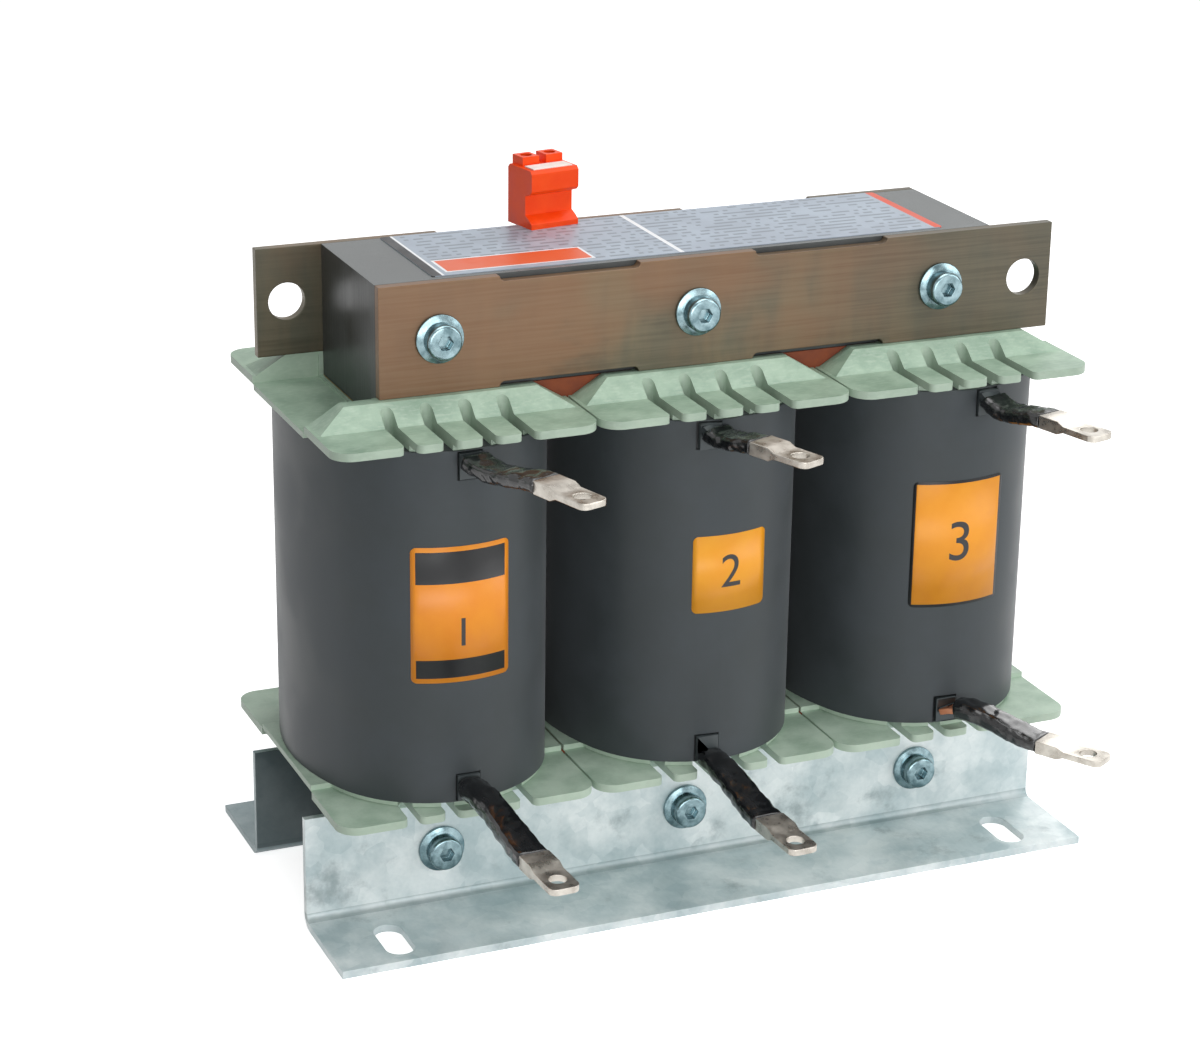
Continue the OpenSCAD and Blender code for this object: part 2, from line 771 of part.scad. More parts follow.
module terminal_screws() {
    cage_y = block_d / 2 - cage_l / 2 - tower_wall;
    top = block_h + tower_h - screw_h;
    color("silver") in_block() for (side = block_ways) translate([way_x(side), cage_y, 0]) {
        difference() {
            upright_rod(screw_d, cage_low + cage_h - cage_wall - fit, top);
            translate([0, 0, top - screw_slot_depth]) linear_extrude(screw_slot_depth + over) {
                square([screw_d + over, screw_slot_w], center = true);
            }
        }
    }
}

module upright_rod(d, low, high) {
    translate([0, 0, low]) cylinder(d = d, h = high - low);
}

yoke(yoke_clear);  // lower_yoke
yoke(upper_face);  // upper_yoke
leg_blocks_of(0);  // leg_blocks_left
leg_blocks_of(1);  // leg_blocks_middle
leg_blocks_of(2);  // leg_blocks_right
gap_spacers();
former_of(0);  // former_left
former_of(1);  // former_middle
former_of(2);  // former_right
foil_winding_of(0);  // foil_winding_left
foil_winding_of(1);  // foil_winding_middle
foil_winding_of(2);  // foil_winding_right
outer_wrap_of(0);  // outer_wrap_left
outer_wrap_of(1);  // outer_wrap_middle
outer_wrap_of(2);  // outer_wrap_right
upper_flange_of(0);  // upper_flange_left
upper_flange_of(1);  // upper_flange_middle
upper_flange_of(2);  // upper_flange_right
lower_flange_of(0);  // lower_flange_left
lower_flange_of(1);  // lower_flange_middle
lower_flange_of(2);  // lower_flange_right
upper_liners();
lower_liners();
clamp_bar_front();
clamp_bar_back();
foot_angle_front();
foot_angle_back();
upper_bolts();
lower_bolts();
upper_bolt_tubes();
lower_bolt_tubes();
upper_washers();
lower_washers();
upper_nuts();
lower_nuts();
tail_of(0);  // lower_tail_left
tail_of(1);  // lower_tail_middle
tail_of(2);  // lower_tail_right
tail_of(3);  // upper_tail_left
tail_of(4);  // upper_tail_middle
tail_of(5);  // upper_tail_right
sleeve_of(0);  // lower_sleeve_left
sleeve_of(1);  // lower_sleeve_middle
sleeve_of(2);  // lower_sleeve_right
sleeve_of(3);  // upper_sleeve_left
sleeve_of(4);  // upper_sleeve_middle
sleeve_of(5);  // upper_sleeve_right
lug_of(0);  // lower_lug_left
lug_of(1);  // lower_lug_middle
lug_of(2);  // lower_lug_right
lug_of(3);  // upper_lug_left
lug_of(4);  // upper_lug_middle
lug_of(5);  // upper_lug_right
terminal_block();
terminal_screws();
terminal_cages();
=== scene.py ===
"""Looks of a three-phase harmonic filter reactor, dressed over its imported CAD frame.

Everything is in metres in the part's own frame: +X runs along the row of windings, -Y is the
front with the connection lugs, and +Z is up from the floor.
"""

import logging
import math
from dataclasses import dataclass
from enum import Enum
from typing import NamedTuple

import bmesh
import bpy
from mathutils import Matrix, Vector, noise
from mathutils.bvhtree import BVHTree

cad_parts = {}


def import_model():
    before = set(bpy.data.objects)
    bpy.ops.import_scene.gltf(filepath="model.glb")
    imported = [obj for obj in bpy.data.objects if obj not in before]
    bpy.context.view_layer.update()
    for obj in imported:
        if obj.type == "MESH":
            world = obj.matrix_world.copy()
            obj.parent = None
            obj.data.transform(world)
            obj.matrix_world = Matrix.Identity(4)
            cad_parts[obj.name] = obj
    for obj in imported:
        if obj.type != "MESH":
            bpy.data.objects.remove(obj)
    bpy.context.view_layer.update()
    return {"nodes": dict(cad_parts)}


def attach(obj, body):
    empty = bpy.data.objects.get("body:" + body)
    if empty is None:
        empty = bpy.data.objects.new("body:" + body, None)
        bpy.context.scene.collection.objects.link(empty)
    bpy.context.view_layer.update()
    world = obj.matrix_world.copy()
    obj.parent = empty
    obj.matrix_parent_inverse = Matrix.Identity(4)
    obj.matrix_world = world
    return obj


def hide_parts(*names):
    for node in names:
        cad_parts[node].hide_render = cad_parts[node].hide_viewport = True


MM = 0.001
BODY = "root"
TOUCH_MM = 0.0001
UPRIGHT = Matrix.Rotation(math.radians(90), 3, "X")
LOG = logging.getLogger("reactor")

Socket = bpy.types.NodeSocket
Tree = bpy.types.ShaderNodeTree


class Way(Enum):
    """The three windings of the row, by the X of their legs in millimetres."""

    LEFT = -100.0
    MIDDLE = 0.0
    RIGHT = 100.0

    @property
    def word(self) -> str:
        """The way's name as the CAD nodes spell it."""
        return self.name.lower()


class Level(Enum):
    """Upper and lower end of the windings."""

    LOWER = "lower"
    UPPER = "upper"


def linear(code: str) -> tuple[float, float, float, float]:
    """Turns an sRGB hex value into a linear colour.

    Args:
        code: Six hex digits after a hash sign.

    Returns:
        Red, green, blue and alpha, linear, from 0 to 1.
    """
    parts = [int(code[i:i + 2], 16) / 255 for i in (1, 3, 5)]
    turned = [v / 12.92 if v <= 0.04045 else ((v + 0.055) / 1.055) ** 2.4 for v in parts]
    return (turned[0], turned[1], turned[2], 1.0)


def add(tree: Tree, kind: str, inputs: dict | None = None, out: int | str = 0, **settings: object) -> Socket | None:
    """Adds one shader node with its settings and links.

    Args:
        tree: The node tree that gets the node.
        kind: Blender's name of the node type.
        inputs: Input name or index to a value or to the socket that feeds it.
        out: Name or index of the output that is wanted.
        **settings: Attributes of the node.

    Returns:
        The wanted output, or None for a node without outputs.
    """
    made = tree.nodes.new(kind)
    for name, value in settings.items():
        setattr(made, name, value)
    for name, value in (inputs or {}).items():
        if isinstance(value, bpy.types.NodeSocket):
            tree.links.new(value, made.inputs[name])
        else:
            made.inputs[name].default_value = value
    return made.outputs[out] if len(made.outputs) else None


def clouds(tree: Tree, place: Socket, size_mm: float, detail: float = 3.0,
           stretch: tuple[float, float, float] = (1.0, 1.0, 1.0), rough: float = 0.55) -> Socket:
    """Soft cloud pattern of a real size.

    Args:
        tree: The material's tree.
        place: Object coordinates in metres.
        size_mm: Distance from one cloud to the next.
        detail: Number of finer octaves.
        stretch: How many times longer the clouds are along X, Y and Z.
        rough: How strong the finer octaves are.

    Returns:
        A value from 0 to 1.
    """
    squeezed = add(tree, "ShaderNodeMapping", {"Vector": place, "Scale": tuple(1 / s for s in stretch)})
    return add(tree, "ShaderNodeTexNoise", {"Vector": squeezed, "Scale": 1000 / size_mm, "Detail": detail,
                                            "Roughness": rough})


def span(tree: Tree, value: Socket, low: float, high: float, start: float = 0.0, end: float = 1.0) -> Socket:
    """Spreads a value from low..high over start..end, smoothly and clamped."""
    return add(tree, "ShaderNodeMapRange", {"Value": value, "From Min": low, "From Max": high, "To Min": start,
                                            "To Max": end}, interpolation_type="SMOOTHSTEP")


def blend(tree: Tree, factor: Socket | float, first: Socket | tuple, second: Socket | tuple) -> Socket:
    """Mixes two colours, the second one where the factor is 1."""
    return add(tree, "ShaderNodeMix", {0: factor, 6: first, 7: second}, out=2, data_type="RGBA")


def within(tree: Tree, value: Socket, low_mm: float, high_mm: float) -> Socket:
    """Is 1 where a coordinate in metres lies between two places in millimetres, and 0 elsewhere."""
    middle, half = (low_mm + high_mm) / 2 * MM, (high_mm - low_mm) / 2 * MM
    return add(tree, "ShaderNodeMath", {0: value, 1: middle, 2: half}, operation="COMPARE")


def both(tree: Tree, first: Socket, second: Socket) -> Socket:
    """Is 1 only where both masks are 1."""
    return add(tree, "ShaderNodeMath", {0: first, 1: second}, operation="MULTIPLY")


def share_of(tree: Tree, value: Socket, share: float) -> Socket:
    """Gives a value times a fixed share, such as a mask's strength."""
    return add(tree, "ShaderNodeMath", {0: value, 1: share}, operation="MULTIPLY")


def shaded_side(tree: Tree, place: Socket, reach_mm: float = 30.4) -> Socket:
    """Is 1 on the faces of bars and angles that look at the core and get little light."""
    depth = add(tree, "ShaderNodeSeparateXYZ", {0: place}, out="Y")
    return within(tree, depth, -reach_mm, reach_mm)


class Skin(NamedTuple):
    """What a finish's pattern gives the shader."""

    colour: Socket
    roughness: Socket
    height: Socket


@dataclass(frozen=True)
class Finish:
    """A surface with soft clouds of a second tone and a fine grain."""

    name: str
    tone: str
    second: str
    roughness: float
    metallic: float = 0.0
    cloud_mm: float = 20.0
    stretch: tuple[float, float, float] = (1.0, 1.0, 1.0)
    grain_mm: float = 0.8
    grain_share: float = 0.25
    relief_mm: float = 0.02
    sheen: float = 0.0
    coat: float = 0.0
    ior: float = 1.5

    def skin(self, tree: Tree, place: Socket) -> Skin:
        """Draws the pattern.

        Args:
            tree: The material's tree.
            place: Object coordinates in metres.

        Returns:
            The colour, roughness and height of the surface.
        """
        cloud = span(tree, clouds(tree, place, self.cloud_mm, 4.0, self.stretch), 0.3, 0.7)
        grain = clouds(tree, place, self.grain_mm, 2.0)
        mixed = add(tree, "ShaderNodeMix", {0: self.grain_share, 2: cloud, 3: grain}, data_type="FLOAT")
        colour = blend(tree, mixed, linear(self.tone), linear(self.second))
        gloss = span(tree, mixed, 0.0, 1.0, self.roughness - 0.05, self.roughness + 0.07)
        return Skin(colour, gloss, grain)

    def material(self) -> bpy.types.Material:
        """Builds the material once and then gives the same one again.

        Returns:
            The material, whose name is the finish's name.
        """
        known = bpy.data.materials.get(self.name)
        if known:
            return known
        made = bpy.data.materials.new(self.name)
        made.use_nodes = True
        tree = made.node_tree
        tree.nodes.clear()
        place = add(tree, "ShaderNodeTexCoord", out="Object")
        skin = self.skin(tree, place)
        bumped = add(tree, "ShaderNodeBump", {"Height": skin.height, "Strength": 1.0,
                                              "Distance": self.relief_mm * MM})
        shader = add(tree, "ShaderNodeBsdfPrincipled", {
            "Base Color": skin.colour, "Roughness": skin.roughness, "Normal": bumped,
            "Metallic": self.metallic, "Sheen Weight": self.sheen, "Coat Weight": self.coat,
            "IOR": self.ior,
        })
        add(tree, "ShaderNodeOutputMaterial", {"Surface": shader})
        made.diffuse_color = linear(self.tone)
        return made


@dataclass(frozen=True)
class StackedSheets(Finish):
    """Edges of stacked electrical steel sheets: fine lines across the stack, each sheet its own tone."""

    sheet_mm: float = 1.0
    sheet_share: float = 0.45
    sheet_half: float = 0.36
    wander_mm: float = 60.0
    wander_sheets: float = 0.6
    seam_tone: str = "#1d2022"
    seam_share: float = 0.75
    # Painted shade on the upright faces: its tone and strength
    end_tone: str = "#1c1f20"
    end_share: float = 0.75

    def skin(self, tree: Tree, place: Socket) -> Skin:
        """Draws one band per sheet along Y, a dull varnish over them, and painted shade on the upright sides.

        Args:
            tree: The material's tree.
            place: Object coordinates in metres.

        Returns:
            The colour, roughness and height of the surface.
        """
        depth = add(tree, "ShaderNodeSeparateXYZ", {0: place}, out="Y")
        count = add(tree, "ShaderNodeMath", {0: depth, 1: 1000 / self.sheet_mm}, operation="MULTIPLY")
        wander = share_of(tree, clouds(tree, place, self.wander_mm, 2.0), self.wander_sheets)
        count = add(tree, "ShaderNodeMath", {0: count, 1: wander}, operation="ADD")
        whole = add(tree, "ShaderNodeMath", {0: count}, operation="FLOOR")
        inside = add(tree, "ShaderNodeMath", {0: count}, operation="FRACT")
        sheet = add(tree, "ShaderNodeTexWhiteNoise", {"W": whole}, noise_dimensions="1D")
        sound = add(tree, "ShaderNodeMath", {0: inside, 1: 0.5, 2: self.sheet_half}, operation="COMPARE")
        seam = span(tree, sound, 0.0, 1.0)
        cloud = span(tree, clouds(tree, place, self.cloud_mm, 4.0), 0.3, 0.7)
        tone = add(tree, "ShaderNodeMix", {0: self.sheet_share, 2: cloud, 3: sheet}, data_type="FLOAT")
        colour = blend(tree, tone, linear(self.tone), linear(self.second))
        dark = blend(tree, self.seam_share, colour, linear(self.seam_tone))
        colour = blend(tree, seam, dark, colour)
        # Painted shade: faces that stand upright, such as the yoke ends and the faces seen in the bars' notches,
        # are darkened
        facing = add(tree, "ShaderNodeNewGeometry", out="True Normal")
        up = add(tree, "ShaderNodeSeparateXYZ", {0: facing}, out="Z")
        level = add(tree, "ShaderNodeMath", {0: up}, operation="ABSOLUTE")
        colour = blend(tree, span(tree, level, 0.1, 0.5, self.end_share, 0.0), colour, linear(self.end_tone))
        gloss = span(tree, tone, 0.0, 1.0, self.roughness - 0.05, self.roughness + 0.1)
        return Skin(colour, gloss, seam)


@dataclass(frozen=True)
class PassivatedSteel(Finish):
    """Rolled flat steel with a passivation that ran brown, olive and orange, and dark smears."""

    band_mm: float = 14.0
    band_stretch: tuple[float, float, float] = (1.0, 1.0, 4.0)
    third: str = "#78553b"
    third_mm: float = 70.0
    third_share: float = 0.75
    smear: str = "#4c4638"
    smear_mm: float = 24.0
    smear_stretch: tuple[float, float, float] = (1.6, 1.0, 0.9)
    smear_share: float = 0.55
    aged: str = "#42433a"
    aged_reach: float = 0.15
    aged_share: float = 0.7
    line: str = "#b9ab92"
    line_mm: float = 0.9
    line_stretch: tuple[float, float, float] = (40.0, 1.0, 1.0)
    line_share: float = 0.07
    # Painted shade on the side that faces the core: its tone and strength
    inner: str = "#33382f"
    inner_share: float = 0.5

    def skin(self, tree: Tree, place: Socket) -> Skin:
        """Draws tall soft bands across the bar, rolling lines, smears, an aged end and painted shade on the side
        that faces the core.

        Args:
            tree: The material's tree.
            place: Object coordinates in metres.

        Returns:
            The colour, roughness and height of the surface.
        """
        bands = span(tree, clouds(tree, place, self.band_mm, 4.0, self.band_stretch), 0.36, 0.64)
        drift = span(tree, clouds(tree, place, self.third_mm, 3.0), 0.38, 0.62)
        smears = span(tree, clouds(tree, place, self.smear_mm, 4.0, self.smear_stretch), 0.6, 0.74)
        rolled = clouds(tree, place, self.line_mm, 2.0, self.line_stretch)
        colour = blend(tree, bands, linear(self.tone), linear(self.second))
        colour = blend(tree, share_of(tree, drift, self.third_share), colour, linear(self.third))
        colour = blend(tree, share_of(tree, smears, self.smear_share), colour, linear(self.smear))
        along = add(tree, "ShaderNodeSeparateXYZ", {0: place}, out="X")
        old = span(tree, along, 0.0, self.aged_reach, 0.0, self.aged_share)
        colour = blend(tree, old, colour, linear(self.aged))
        lines = span(tree, rolled, 0.3, 0.7, 0.0, self.line_share)
        colour = blend(tree, lines, colour, linear(self.line))
        # Painted shade: the faces that look at the core are darkened
        core_side_shade_mask = share_of(tree, shaded_side(tree, place), self.inner_share)
        colour = blend(tree, core_side_shade_mask, colour, linear(self.inner))
        gloss = span(tree, rolled, 0.3, 0.7, self.roughness - 0.06, self.roughness + 0.08)
        return Skin(colour, gloss, rolled)


@dataclass(frozen=True)
class SpangledZinc(Finish):
    """Hot-dip galvanised sheet: frost-like zinc crystals with their own tones, and dull patches."""

    crystal_mm: float = 7.0
    crook_mm: float = 4.0
    cloud_share: float = 0.72
    feather_stretch: tuple[float, float, float] = (1.0, 2.5, 1.0)
    # Colour of the real stains, also used as painted shade along the bend
    stain_and_bend_shade: str = "#5c7276"
    stain_mm: float = 34.0
    stain_share: float = 0.55
    # Height of the bend, where painted shade darkens the sheet, and its strength
    bend_mm: tuple[float, float] = (3.1, 6.0)
    bend_share: float = 0.4
    # Painted shade on the side that faces the core: its tone and strength
    inner: str = "#334143"
    inner_share: float = 0.75

    def skin(self, tree: Tree, place: Socket) -> Skin:
        """Draws crystals with bent outlines, dull clouds, stains, painted shade along the bend and painted shade on
        the side that faces the core.

        Args:
            tree: The material's tree.
            place: Object coordinates in metres.

        Returns:
            The colour, roughness and height of the surface.
        """
        crook = add(tree, "ShaderNodeTexNoise", {"Vector": place, "Scale": 1000 / (self.crystal_mm * 1.2)},
                    out="Color")
        offset = add(tree, "ShaderNodeVectorMath", {0: crook, 1: (self.crook_mm * MM,) * 3}, operation="MULTIPLY")
        moved = add(tree, "ShaderNodeVectorMath", {0: place, 1: offset}, operation="ADD")
        cell = add(tree, "ShaderNodeTexVoronoi", {"Vector": moved, "Scale": 1000 / self.crystal_mm}, out="Color")
        crystal = add(tree, "ShaderNodeSeparateXYZ", {0: cell}, out="X")
        cloud = span(tree, clouds(tree, place, self.cloud_mm, 5.0), 0.34, 0.66)
        feather = clouds(tree, place, self.grain_mm, 3.0, self.feather_stretch)
        mixed = add(tree, "ShaderNodeMix", {0: self.cloud_share, 2: crystal, 3: cloud}, data_type="FLOAT")
        mixed = add(tree, "ShaderNodeMix", {0: self.grain_share, 2: mixed, 3: feather}, data_type="FLOAT")
        colour = blend(tree, mixed, linear(self.tone), linear(self.second))
        stains = span(tree, clouds(tree, place, self.stain_mm, 6.0, rough=0.68), 0.54, 0.72, 0.0, self.stain_share)
        colour = blend(tree, stains, colour, linear(self.stain_and_bend_shade))
        height = add(tree, "ShaderNodeSeparateXYZ", {0: place}, out="Z")
        # Painted shade along the bend of the angle
        bend_shade = share_of(tree, within(tree, height, *self.bend_mm), self.bend_share)
        colour = blend(tree, bend_shade, colour, linear(self.stain_and_bend_shade))
        # Painted shade: the faces that look at the core are darkened
        core_side_shade_mask = share_of(tree, shaded_side(tree, place), self.inner_share)
        colour = blend(tree, core_side_shade_mask, colour, linear(self.inner))
        gloss = span(tree, crystal, 0.0, 1.0, self.roughness - 0.08, self.roughness + 0.1)
        return Skin(colour, gloss, mixed)


@dataclass(frozen=True)
class GlassFilledMoulding(Finish):
    """Pale green glass-filled plastic: cloudy, with short fibres and a painted highlight on its upright sides."""

    # Colour of the paler fibres, also used as a painted highlight on the upright faces
    rim: str = "#c3d2c2"
    rim_share: float = 0.45
    rim_tilt: float = 0.3
    fibre_mm: float = 1.1
    fibre_stretch: tuple[float, float, float] = (3.0, 1.0, 1.0)
    fibre_share: float = 0.28

    def skin(self, tree: Tree, place: Socket) -> Skin:
        """Draws the clouds and fibres, and paints a highlight on the faces that stand upright.

        Args:
            tree: The material's tree.
            place: Object coordinates in metres.

        Returns:
            The colour, roughness and height of the surface.
        """
        base = super().skin(tree, place)
        fibre = span(tree, clouds(tree, place, self.fibre_mm, 3.0, self.fibre_stretch), 0.45, 0.75)
        colour = blend(tree, share_of(tree, fibre, self.fibre_share), base.colour, linear(self.rim))
        # Painted highlight on the faces that stand upright
        facing = add(tree, "ShaderNodeNewGeometry", out="True Normal")
        up = add(tree, "ShaderNodeSeparateXYZ", {0: facing}, out="Z")
        upright = add(tree, "ShaderNodeMath", {0: up, 1: 0.0, 2: self.rim_tilt}, operation="COMPARE")
        colour = blend(tree, share_of(tree, upright, self.rim_share), colour, linear(self.rim))
        return Skin(colour, base.roughness, base.height)


@dataclass(frozen=True)
class FoldedFoil(Finish):
    """Bare copper foil whose root lies under the dark film of the winding's wrap."""

    film: str = "#3d4446"
    film_front_mm: float = -67.5
    film_fade_mm: float = 0.3

    def skin(self, tree: Tree, place: Socket) -> Skin:
        """Draws the copper, and the film where the tail leaves the winding.

        Args:
            tree: The material's tree.
            place: Object coordinates in metres.

        Returns:
            The colour, roughness and height of the surface.
        """
        base = super().skin(tree, place)
        depth = add(tree, "ShaderNodeSeparateXYZ", {0: place}, out="Y")
        start, end = self.film_front_mm - self.film_fade_mm, self.film_front_mm + self.film_fade_mm
        covered = span(tree, depth, start * MM, end * MM)
        return Skin(blend(tree, covered, base.colour, linear(self.film)), base.roughness, base.height)


@dataclass(frozen=True)
class PrintedPlate(Finish):
    """Silvery printed plate: black bar at one end, a pale divider, a warm panel and rows of dashes."""

    row_mm: float = 4.2
    row_half: float = 0.2
    dash_mm: float = 1.9
    blank_share: float = 0.42
    dash_tone: str = "#4d545c"
    dash_share: float = 0.5
    dashed_mm: tuple[tuple[float, float], tuple[float, float]] = ((-93.0, 99.0), (-25.5, 28.5))
    fields_mm: tuple[tuple[tuple[float, float], tuple[float, float], str], ...] = (
        ((-100.0, -96.2), (-27.0, 30.0), "#15171b"),
        ((-96.2, -95.2), (-27.0, 30.0), "#eef0f2"),
        ((-4.2, -2.4), (-27.0, 30.0), "#eef0f2"),
        ((-93.5, -36.0), (-23.5, -7.0), "#eceff2"),
        ((-92.5, -37.0), (-22.5, -8.0), "#e0591f"),
        ((100.6, 104.0), (-27.0, 30.0), "#d64a26"),
    )

    def skin(self, tree: Tree, place: Socket) -> Skin:
        """Draws plain fields and rows of dashes that stand for print, without any lettering.

        Args:
            tree: The material's tree.
            place: Object coordinates in metres.

        Returns:
            The colour, roughness and height of the surface.
        """
        base = super().skin(tree, place)
        x = add(tree, "ShaderNodeSeparateXYZ", {0: place}, out="X")
        y = add(tree, "ShaderNodeSeparateXYZ", {0: place}, out="Y")
        row = share_of(tree, y, 1000 / self.row_mm)
        line = add(tree, "ShaderNodeMath", {0: row}, operation="FLOOR")
        across = add(tree, "ShaderNodeMath", {0: row}, operation="FRACT")
        in_line = add(tree, "ShaderNodeMath", {0: across, 1: 0.5, 2: self.row_half}, operation="COMPARE")
        column = add(tree, "ShaderNodeMath", {0: share_of(tree, x, 1000 / self.dash_mm)}, operation="FLOOR")
        cell = add(tree, "ShaderNodeCombineXYZ", {"X": column, "Y": line})
        mark = add(tree, "ShaderNodeTexWhiteNoise", {"Vector": cell}, noise_dimensions="2D")
        shown = add(tree, "ShaderNodeMath", {0: mark, 1: self.blank_share}, operation="GREATER_THAN")
        dashes = share_of(tree, both(tree, in_line, shown), self.dash_share)
        colour = blend(tree, dashes, base.colour, linear(self.dash_tone))
        (left, right), (front, back) = self.dashed_mm
        dashed = both(tree, within(tree, x, left, right), within(tree, y, front, back))
        colour = blend(tree, dashed, base.colour, colour)
        for (left, right), (front, back), tone in self.fields_mm:
            field = both(tree, within(tree, x, left, right), within(tree, y, front, back))
            colour = blend(tree, field, colour, linear(tone))
        return Skin(colour, base.roughness, base.height)


@dataclass(frozen=True)
class StickerPrint(Finish):
    """Plain warm sticker with a dark frame and plain bands, drawn by its own surface map."""

    frame_share: float = 0.03
    frame_aspect: float = 0.75
    side_share: float = 0.045
    bands: tuple[tuple[float, float], ...] = ()
    ink: str = "#17181a"

    def skin(self, tree: Tree, place: Socket) -> Skin:
        """Draws the frame and the bands from the sticker's own map, from 0 to 1 across and up it.

        Args:
            tree: The material's tree.
            place: Object coordinates in metres.

        Returns:
            The colour, roughness and height of the surface.
        """
        base = super().skin(tree, place)
        own = add(tree, "ShaderNodeUVMap", uv_map="face")
        u = add(tree, "ShaderNodeSeparateXYZ", {0: own}, out="X")
        v = add(tree, "ShaderNodeSeparateXYZ", {0: own}, out="Y")
        inner_u, inner_v = 0.5 - self.frame_share, 0.5 - self.frame_share * self.frame_aspect
        in_u = add(tree, "ShaderNodeMath", {0: u, 1: 0.5, 2: inner_u}, operation="COMPARE")
        in_v = add(tree, "ShaderNodeMath", {0: v, 1: 0.5, 2: inner_v}, operation="COMPARE")
        colour = blend(tree, both(tree, in_u, in_v), linear(self.ink), base.colour)
        beside = add(tree, "ShaderNodeMath", {0: u, 1: 0.5, 2: 0.5 - self.side_share}, operation="COMPARE")
        for low, high in self.bands:
            band = add(tree, "ShaderNodeMath", {0: v, 1: (low + high) / 2, 2: (high - low) / 2},
                       operation="COMPARE")
            colour = blend(tree, both(tree, band, beside), colour, linear(self.ink))
        return Skin(colour, base.roughness, base.height)


# Smooth dark grey polyester wrap, taut and dull, with a soft sheen towards its sides
WRAP = Finish("polyester_wrap_dark_grey", "#363c3e", "#40464a", 0.5, cloud_mm=34.0, grain_mm=0.7,
              grain_share=0.2, relief_mm=0.01, sheen=0.1, ior=1.38)
# Sheared edges of varnished silicon steel sheets, drawn twice as thick as real so that they show
SHEETS = StackedSheets("varnished_silicon_steel", "#565a5a", "#7e8282", 0.34, metallic=0.3, cloud_mm=18.0,
                       relief_mm=0.05)
# Rolled steel bar with a yellow-brown passivated zinc layer that dulled in streaks
BAR = PassivatedSteel("passivated_flat_steel", "#6d6049", "#585545", 0.42, metallic=0.4, relief_mm=0.01)
# Hot-dip galvanised sheet with frosty crystals
GALVANISED = SpangledZinc("galvanised_sheet", "#a5b9bd", "#f0f5f5", 0.36, metallic=0.3, cloud_mm=26.0,
                          grain_mm=1.6, relief_mm=0.008)
# The same sheet on the back angle, darker and duller as painted shade
SHADED_GALVANISED = SpangledZinc("galvanised_sheet_dull", "#7a8c90", "#b4c0c2", 0.42, metallic=0.3, cloud_mm=26.0,
                               grain_mm=1.6, relief_mm=0.008)
# Blue passivated zinc plating on turned steel, glossy, cloudy and cold in tint
ZINC = Finish("blue_passivated_zinc", "#4f676d", "#9ab2b8", 0.2, metallic=0.95, cloud_mm=4.0, grain_mm=0.4,
              relief_mm=0.004)
# Glass-filled polyester moulding, pale green and cloudy, with a painted highlight on its upright sides
MOULDING = GlassFilledMoulding("glass_filled_polyester_green", "#7f9b86", "#a9c1ac", 0.42, cloud_mm=14.0,
                               grain_mm=0.9, relief_mm=0.02)
# The same moulding on the lower flanges, a little paler as painted light against the shade of the windings above
# them
LIT_MOULDING = GlassFilledMoulding("glass_filled_polyester_green_dusty", "#98b49e", "#c3d8c5", 0.46,
                                    cloud_mm=14.0, grain_mm=0.9, relief_mm=0.02)
# Calendered red-brown pressboard, matt with short paper fibres
PRESSBOARD = Finish("pressboard_red_brown", "#7a3a22", "#8f4a2c", 0.8, cloud_mm=6.0, grain_mm=0.5, relief_mm=0.02)
# Folded copper foil, warm and softly brushed
COPPER = FoldedFoil("folded_copper_foil", "#b8714f", "#d19474", 0.45, cloud_mm=5.0,
                    stretch=(1.0, 4.0, 1.0), grain_mm=0.5, relief_mm=0.006)
# The same foil where its sleeve starts further out and leaves it bare
BARE_COPPER = FoldedFoil("bare_copper_foil", "#b8714f", "#d19474", 0.32, metallic=0.6, cloud_mm=5.0,
                         stretch=(1.0, 4.0, 1.0), grain_mm=0.5, relief_mm=0.006, film_front_mm=-64.2)
# Heat-shrunk black polyolefin, half gloss, with drawn creases
SHRINK = Finish("heat_shrunk_polyolefin_black", "#0c0d0f", "#17191b", 0.22, cloud_mm=5.0,
                stretch=(1.0, 3.0, 1.0), grain_mm=0.8, relief_mm=0.03, coat=0.35)
# Tinned copper lug, pale warm grey with rubbed spots
TINNED = Finish("tinned_copper", "#a19b92", "#cfcac1", 0.3, metallic=0.85, cloud_mm=5.0, grain_mm=0.5,
                relief_mm=0.008)
# Moulded polyamide terminal housing, saturated orange-red with a slight gloss
POLYAMIDE = Finish("polyamide_orange_red", "#f0420a", "#f64f10", 0.34, cloud_mm=7.0, grain_mm=0.4,
                   relief_mm=0.006, ior=1.3)
# Nickel-plated brass wire cages
BRASS = Finish("nickel_plated_brass", "#b59a5a", "#cdb67c", 0.3, metallic=0.9, cloud_mm=3.0, relief_mm=0.004)
# Zinc-plated terminal screws
SCREW = Finish("zinc_plated_screw", "#b7bdc1", "#d4d9dc", 0.3, metallic=0.9, cloud_mm=2.0, relief_mm=0.004)
# Pressed glass laminate spacers
LAMINATE = Finish("glass_laminate_spacer", "#bda869", "#cdb97d", 0.6, cloud_mm=8.0, relief_mm=0.01)
# Wound board former, straw coloured
FORMER = Finish("wound_board_former", "#b99a68", "#c9ac7c", 0.7, cloud_mm=9.0, relief_mm=0.02)
# Edges of the wound foil and film under a coat of dark sealing resin, made darker still as painted shade for the
# slots in the flanges and the gaps round the lead windows
FOIL = Finish("resin_sealed_foil_edges", "#202426", "#2c3133", 0.5, cloud_mm=1.2,
              stretch=(1.0, 6.0, 6.0), relief_mm=0.01)
# Wound paper tube round a bolt
TUBE = Finish("wound_paper_tube", "#cdbf9c", "#d9ccab", 0.7, cloud_mm=6.0, relief_mm=0.01)
# Printed silvery plate on the yoke
PLATE = PrintedPlate("printed_silver_plate", "#98a3b1", "#aeb9c5", 0.4, metallic=0.1, cloud_mm=14.0,
                     grain_mm=0.6, relief_mm=0.004)
